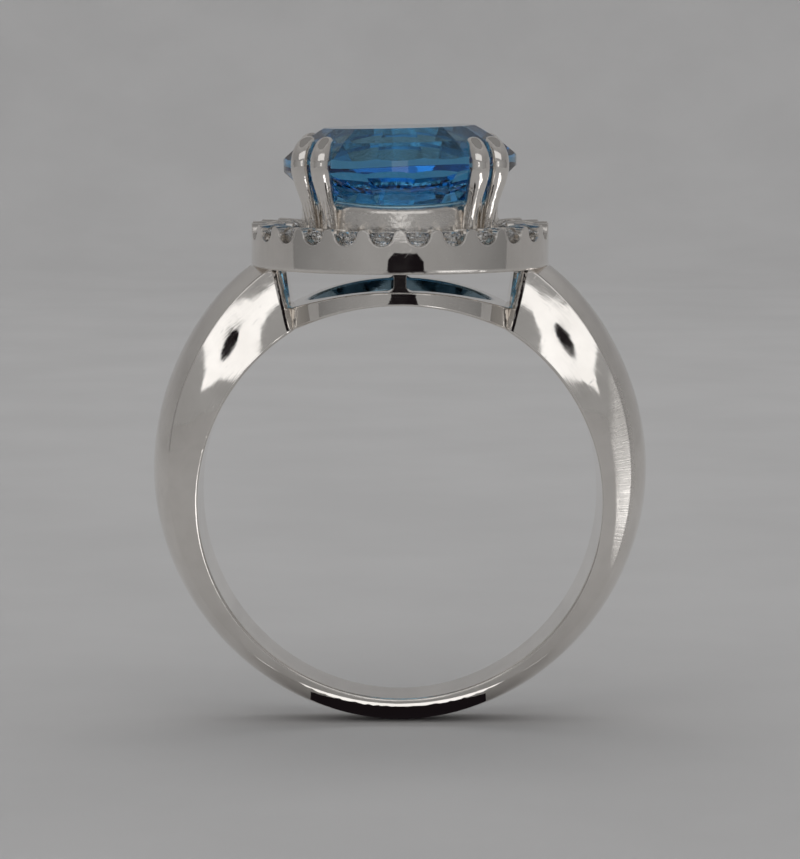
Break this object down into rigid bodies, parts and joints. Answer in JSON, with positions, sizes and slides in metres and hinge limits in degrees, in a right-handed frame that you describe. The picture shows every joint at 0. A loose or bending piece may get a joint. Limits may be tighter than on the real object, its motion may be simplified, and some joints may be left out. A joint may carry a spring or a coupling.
{
  "type": "cocktail ring",
  "caption": "Halo cocktail ring: large round blue stone in a double-claw basket over a halo of small stones, with an arched gallery and a plain tapering D-section shank.",
  "frame": {"origin": "centre of the finger hole, midway across the band", "axes": "+Z from the finger hole up to the large stone, +Y along the finger, +X across the ring"},
  "size_m": [0.0214, 0.0128, 0.0259],
  "materials": {
    "white_metal": "bright polished, rhodium-white precious metal",
    "blue_stone": "faceted and polished, saturated sky blue",
    "clear_stone": "faceted and polished, colourless"
  },
  "bodies": {
    "root": {"shank": "white_metal", "gallery_ring": "white_metal", "gallery_post_front": "white_metal", "gallery_post_rear": "white_metal", "halo_frame": "white_metal", "basket_base_ring": "white_metal", "basket_seat_ring": "white_metal", "claw_1": "white_metal", "claw_2": "white_metal", "claw_3": "white_metal", "claw_4": "white_metal", "claw_5": "white_metal", "claw_6": "white_metal", "claw_7": "white_metal", "claw_8": "white_metal", "centre_stone": "blue_stone", "halo_stone_01": "clear_stone", "halo_stone_02": "clear_stone", "halo_stone_03": "clear_stone", "halo_stone_04": "clear_stone", "halo_stone_05": "clear_stone", "halo_stone_06": "clear_stone", "halo_stone_07": "clear_stone", "halo_stone_08": "clear_stone", "halo_stone_09": "clear_stone", "halo_stone_10": "clear_stone", "halo_stone_11": "clear_stone", "halo_stone_12": "clear_stone", "halo_stone_13": "clear_stone", "halo_stone_14": "clear_stone", "halo_stone_15": "clear_stone", "halo_stone_16": "clear_stone", "halo_stone_17": "clear_stone", "halo_stone_18": "clear_stone", "halo_stone_19": "clear_stone", "halo_stone_20": "clear_stone", "halo_stone_21": "clear_stone", "halo_stone_22": "clear_stone", "halo_stone_23": "clear_stone", "halo_stone_24": "clear_stone", "halo_stone_25": "clear_stone", "halo_stone_26": "clear_stone"}
  },
  "joints": []
}
